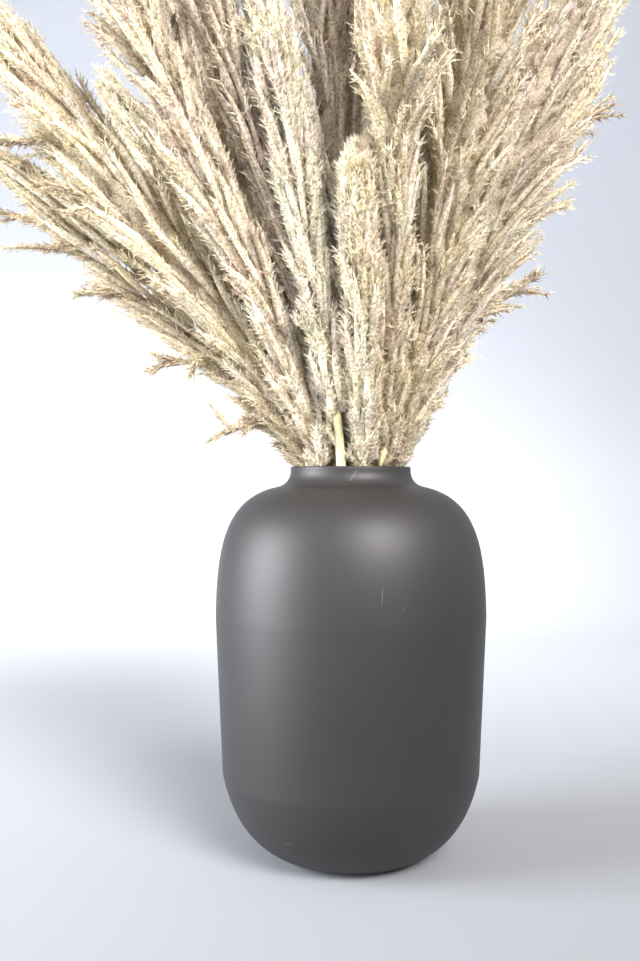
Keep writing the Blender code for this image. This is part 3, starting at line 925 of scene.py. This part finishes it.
def build_stalk(number, stalk, room, vase, grass, materials):
    """One stalk as one mesh: stem, heart, locks, sprays, husks and their spikelets."""
    rng = np.random.default_rng(grass.seed + number)
    stem, stem_faces = stem_tube(stalk, vase, grass)
    heart, heart_faces, heart_uv = plume_heart(stalk, room, vase, rng)
    count = grass.outer_locks if stalk["reach"] else grass.inner_locks
    locks = lock_lines(stalk, room, vase, grass, count, rng)
    sprays = [(start, tip) for owner, start, tip in SPRAYS if owner == number]
    free = spray_lines(sprays, stalk, vase, grass, rng)
    husks = husk_lines(grass) if stalk["bare"] else np.empty((0, grass.lock_rings, 3))
    lines = np.concatenate([locks, free, husks])
    total, points = lines.shape[:2]
    in_spray = slice(len(locks), len(locks) + len(free))

    radii = lock_radii(total, points, grass, rng)
    radii[in_spray] *= SPRAY_THICKNESS
    tube = sweep_tubes(lines, radii, LOCK_SIDES).reshape(-1, 3)
    tube_faces = tube_triangles(total, points, LOCK_SIDES)
    tints = MEAN_TINT[stalk["tint"]] + rng.normal(0, grass.lock_tint_spread, total)
    tints[:len(locks)] += BARE_STALK_PALER if stalk["bare"] else 0.0
    tints[in_spray] -= np.tile(np.linspace(*SPRAY_DARKER, grass.spray_locks), len(sprays))
    tints[in_spray.stop:] = HUSK_TINT
    tints = np.clip(tints + COLUMN_LIGHTER * bright_column(lines[:, points // 2]), *LOCK_TINTS)
    tube_tint = np.repeat(tints, points * LOCK_SIDES + 2)
    tube_uv = np.stack([tube_tint, np.full(len(tube_tint), LOCK_ALONG)], 1)
    heights = np.clip(lines[..., 2] - VASE_HEIGHT, AXIS_LOWEST, stalk["tip"])
    axes = stalk_line(stalk, heights, vase.floor)
    spikes, spike_faces, spike_uv = spikelets_on(lines, radii, axes, tints, grass, rng)

    corners, triangles, uv, slots, smooth = joined([
        (stem, stem_faces, np.full((len(stem), 2), STEM_TINT), STRAW_SLOT, True),
        (heart, heart_faces, heart_uv, FLUFF_SLOT, True),
        (tube, tube_faces, tube_uv, FLUFF_SLOT, True),
        (spikes, spike_faces, spike_uv, FLUFF_SLOT, False)])
    corners[:, 2] = np.maximum(corners[:, 2], vase.floor + TOUCH_GAP)
    return mesh_object(f"pampas_plume_{number:02d}", corners, triangles, materials, slots, uv, smooth)


# Settings

class VaseSettings(bpy.types.PropertyGroup):
    """Sizes and glaze of the vase"""
    neck_radius: bpy.props.FloatProperty(name="Neck radius", description="Outer radius of the rim",
                                         default=0.0523, unit="LENGTH")
    wall: bpy.props.FloatProperty(name="Wall", description="Thickness of the wall", default=0.005,
                                  unit="LENGTH")
    floor: bpy.props.FloatProperty(name="Floor", description="Height of the inner floor", default=0.008,
                                   unit="LENGTH")
    sides: bpy.props.IntProperty(name="Sides", description="Corners round the vase", default=192)
    colour: bpy.props.FloatVectorProperty(name="Colour", description="Glaze colour", subtype="COLOR", size=3,
                                          default=(0.0205, 0.0186, 0.0196))
    scratch_colour: bpy.props.FloatVectorProperty(name="Scratches", description="Colour of the scratches",
                                                  subtype="COLOR", size=3, default=(0.10, 0.096, 0.096))
    roughness: bpy.props.FloatProperty(name="Roughness", description="Roughness of the glaze", default=0.50)
    shine: bpy.props.FloatProperty(name="Shine", description="Specular level of the glaze", default=0.44)


class GrassSettings(bpy.types.PropertyGroup):
    """Make-up of the plumes: locks, spikelets and their tints"""
    seed: bpy.props.IntProperty(name="Seed", description="Start of the random draws", default=40)
    outer_locks: bpy.props.IntProperty(name="Outer locks", description="Locks on each outer plume",
                                       default=180)
    inner_locks: bpy.props.IntProperty(name="Inner locks", description="Locks on each inner plume",
                                       default=148)
    lock_rings: bpy.props.IntProperty(name="Lock rings", description="Rings along a lock", default=6)
    lock_radius: bpy.props.FloatProperty(name="Lock radius", description="Radius of a lock's body",
                                         default=0.0031, unit="LENGTH")
    fluff_extra: bpy.props.FloatProperty(name="Fluff", description="How far locks pass the solid form",
                                         default=0.004, unit="LENGTH")
    spray_locks: bpy.props.IntProperty(name="Spray locks", description="Locks in each spray", default=10)
    stem_radius: bpy.props.FloatProperty(name="Stem radius", description="Radius of a stem", default=0.0030,
                                         unit="LENGTH")
    spikelets: bpy.props.IntProperty(name="Spikelets", description="Spikelets on each lock", default=48)
    spikelet_length: bpy.props.FloatVectorProperty(name="Spikelet length", description="Shortest and longest",
                                                   size=2, default=(0.0055, 0.0108), unit="LENGTH")
    spikelet_width: bpy.props.FloatVectorProperty(name="Spikelet width", description="Narrowest and widest",
                                                  size=2, default=(0.0009, 0.0015), unit="LENGTH")
    spikelet_lean: bpy.props.FloatVectorProperty(name="Spikelet lean", size=2, default=(16.0, 60.0),
                                                 description="Least and most, in degrees")
    tint_spread: bpy.props.FloatProperty(name="Tint spread", description="Tint change between spikelets",
                                         default=0.11)
    lock_tint_spread: bpy.props.FloatProperty(name="Lock tint spread", default=0.12,
                                              description="Tint change between locks")
    # Painted shade and light along a lock: darker at its root inside the plume, lighter at its tip
    painted_shade_along_lock: bpy.props.FloatProperty(name="Tip lightening", description="Tint gained along a lock",
                                            default=0.24)
    roughness: bpy.props.FloatProperty(name="Roughness", description="Roughness of the fluff", default=0.8)
    translucency: bpy.props.FloatProperty(name="Translucency", description="Share of light let through",
                                          default=0.45)


class StageSettings(bpy.types.PropertyGroup):
    """Camera, paper sweep and lights"""
    distance: bpy.props.FloatProperty(name="Distance", description="Camera to the vase's axis", default=0.909,
                                      unit="LENGTH")
    eye_height: bpy.props.FloatProperty(name="Eye height", description="Camera height", default=0.323,
                                        unit="LENGTH")
    eye_side: bpy.props.FloatProperty(name="Eye side", description="Camera offset in x", default=-0.0266,
                                      unit="LENGTH")
    lens: bpy.props.FloatProperty(name="Lens", description="Focal length in millimetres", default=39.07)
    floor_colour: bpy.props.FloatVectorProperty(name="Floor", description="Colour of the floor",
                                                subtype="COLOR", size=3, default=(0.30, 0.31, 0.335))
    wall_colour: bpy.props.FloatVectorProperty(name="Backdrop", description="Colour of the backdrop",
                                               subtype="COLOR", size=3, default=(0.60, 0.625, 0.69))
    ambient: bpy.props.FloatProperty(name="Ambient", description="Strength of the world light", default=0.85)
    key: bpy.props.FloatProperty(name="Key", description="Power of the left light in watts", default=168.0)
    fill: bpy.props.FloatProperty(name="Fill", description="Power of the front light in watts", default=33.0)


# Operators

class PAMPAS_OT_vase(bpy.types.Operator):
    """Turn the vase's outline into its smooth glazed wall"""
    bl_idname = "pampas.vase"
    bl_label = "Vase"

    def execute(self, context):
        settings = context.scene.pampas_vase
        corners, triangles = turned_surface(vase_outline(settings), settings.sides)
        vase = mesh_object("vase_glazed", corners, triangles, [glaze_material(settings)])
        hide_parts("vase")
        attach(vase, "root")
        return {"FINISHED"}


class PAMPAS_OT_plumes(bpy.types.Operator):
    """Grow every stalk: stem, plume, strands and spikelets"""
    bl_idname = "pampas.plumes"
    bl_label = "Plumes"

    def execute(self, context):
        vase, grass = context.scene.pampas_vase, context.scene.pampas_grass
        fluff = {tint: fluff_material(tint, grass) for tint in FLUFF_RAMPS}
        straw = stem_material()
        stalks = ring_stalks()
        rooms = room_table(stalks, vase)
        for number, (stalk, room) in enumerate(zip(stalks, rooms), start=1):
            plume = build_stalk(number, stalk, room, vase, grass, [fluff[stalk["tint"]], straw])
            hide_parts(f"pampas_stalk_{number:02d}")
            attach(plume, "root")
        return {"FINISHED"}


def paper_material(stage):
    """Pale matt paper that fades from the floor's colour to the backdrop's with depth."""
    paper, nodes, links, shader = new_material("pale_paper", PAPER_ROUGHNESS)
    shader.inputs["Specular IOR Level"].default_value = 0.0
    place = nodes.new("ShaderNodeTexCoord")
    split = nodes.new("ShaderNodeSeparateXYZ")
    depth = nodes.new("ShaderNodeMapRange")
    depth.inputs["From Min"].default_value, depth.inputs["From Max"].default_value = SWEEP_FADE
    fade = ramp_node(nodes, [(0.0, tuple(stage.floor_colour)), (1.0, tuple(stage.wall_colour))])
    links.new(place.outputs["Object"], split.inputs["Vector"])
    links.new(split.outputs["Y"], depth.inputs["Value"])
    links.new(depth.outputs["Result"], fade.inputs["Fac"])
    links.new(fade.outputs["Color"], shader.inputs["Base Color"])
    return paper


def paper_sweep():
    """Corners and triangles of the paper: flat floor, a quarter round, upright backdrop.

    The round is (back + bend * sin a, bend - bend * cos a) for a from 0 to a right angle.
    """
    turn = np.linspace(0, math.pi / 2, SWEEP_POINTS)
    bend = np.stack([SWEEP_BACK + SWEEP_BEND * np.sin(turn), SWEEP_BEND - SWEEP_BEND * np.cos(turn)], 1)
    profile = np.concatenate([[[SWEEP_FRONT, 0.0]], bend, [[SWEEP_BACK + SWEEP_BEND, SWEEP_TOP]]])
    across = np.tile([-SWEEP_HALF_WIDTH, SWEEP_HALF_WIDTH], len(profile))
    corners = np.stack([across, np.repeat(profile[:, 0], 2), np.repeat(profile[:, 1], 2)], 1)
    a = 2 * np.arange(len(profile) - 1)
    return corners, np.concatenate([np.stack([a, a + 1, a + 3], 1), np.stack([a, a + 3, a + 2], 1)])


def soft_light(name, power, place, target, size, colour, spread):
    """A rectangular area light at a place, facing a target, with its spread in degrees."""
    lamp = bpy.data.lights.new(name, "AREA")
    lamp.shape = "RECTANGLE"
    lamp.size, lamp.size_y = size
    lamp.energy = power
    lamp.spread = math.radians(spread)
    lamp.color = colour
    thing = bpy.data.objects.new(name, lamp)
    from_to = np.array(target) - np.array(place)
    side = math.atan2(from_to[0], -from_to[1])
    tilt = math.atan2(math.hypot(from_to[0], from_to[1]), -from_to[2])
    thing.location = place
    thing.rotation_euler = (tilt, 0.0, math.pi + side)
    bpy.context.scene.collection.objects.link(thing)


def room_light(scene, strength):
    """The even light of a pale room."""
    world = bpy.data.worlds.new("pale_room")
    scene.world = world
    world.use_nodes = True
    shade = world.node_tree.nodes["Background"]
    shade.inputs["Color"].default_value = (*ROOM_COLOUR, 1.0)
    shade.inputs["Strength"].default_value = strength


def photo_camera(scene, stage):
    """The camera, level, at the photograph's place."""
    lens = bpy.data.cameras.new("photo_camera")
    lens.sensor_width = SENSOR_WIDTH
    lens.lens = stage.lens
    camera = bpy.data.objects.new("photo_camera", lens)
    camera.location = (stage.eye_side, -stage.distance, stage.eye_height)
    camera.rotation_euler = (math.pi / 2, 0.0, 0.0)
    scene.collection.objects.link(camera)
    scene.camera = camera


class PAMPAS_OT_studio(bpy.types.Operator):
    """Set up the pale floor and backdrop, soft lights and the camera"""
    bl_idname = "pampas.studio"
    bl_label = "Studio"

    def execute(self, context):
        scene = context.scene
        stage = scene.pampas_stage
        scene.view_settings.view_transform = "Standard"
        sweep = mesh_object("paper_sweep", *paper_sweep(), [paper_material(stage)])
        room_light(scene, stage.ambient)
        soft_light("window_left", stage.key, **WINDOW_LIGHT)
        soft_light("front_fill", stage.fill, **FRONT_LIGHT)
        photo_camera(scene, stage)
        return {"FINISHED"}


class PAMPAS_PT_panel(bpy.types.Panel):
    """Sidebar panel that lists the steps"""
    bl_label = "Pampas"
    bl_idname = "PAMPAS_PT_panel"
    bl_space_type = "VIEW_3D"
    bl_region_type = "UI"
    bl_category = "Pampas"

    def draw(self, context):
        for operator in OPERATORS:
            self.layout.operator(operator.bl_idname)


OPERATORS = (PAMPAS_OT_studio, PAMPAS_OT_vase, PAMPAS_OT_plumes)
GROUPS = (("pampas_vase", VaseSettings), ("pampas_grass", GrassSettings), ("pampas_stage", StageSettings))


def register():
    """Registers the settings, the operators and the panel."""
    for name, group in GROUPS:
        bpy.utils.register_class(group)
        setattr(bpy.types.Scene, name, bpy.props.PointerProperty(type=group))
    for operator in OPERATORS:
        bpy.utils.register_class(operator)
    bpy.utils.register_class(PAMPAS_PT_panel)


def unregister():
    """Takes them away again, last first."""
    bpy.utils.unregister_class(PAMPAS_PT_panel)
    for operator in reversed(OPERATORS):
        bpy.utils.unregister_class(operator)
    for name, group in reversed(GROUPS):
        delattr(bpy.types.Scene, name)
        bpy.utils.unregister_class(group)


def main():
    """Registers the add-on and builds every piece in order."""
    register()
    bpy.ops.pampas.studio()
    bpy.ops.pampas.vase()
    bpy.ops.pampas.plumes()


if __name__ == "__main__":
    main()
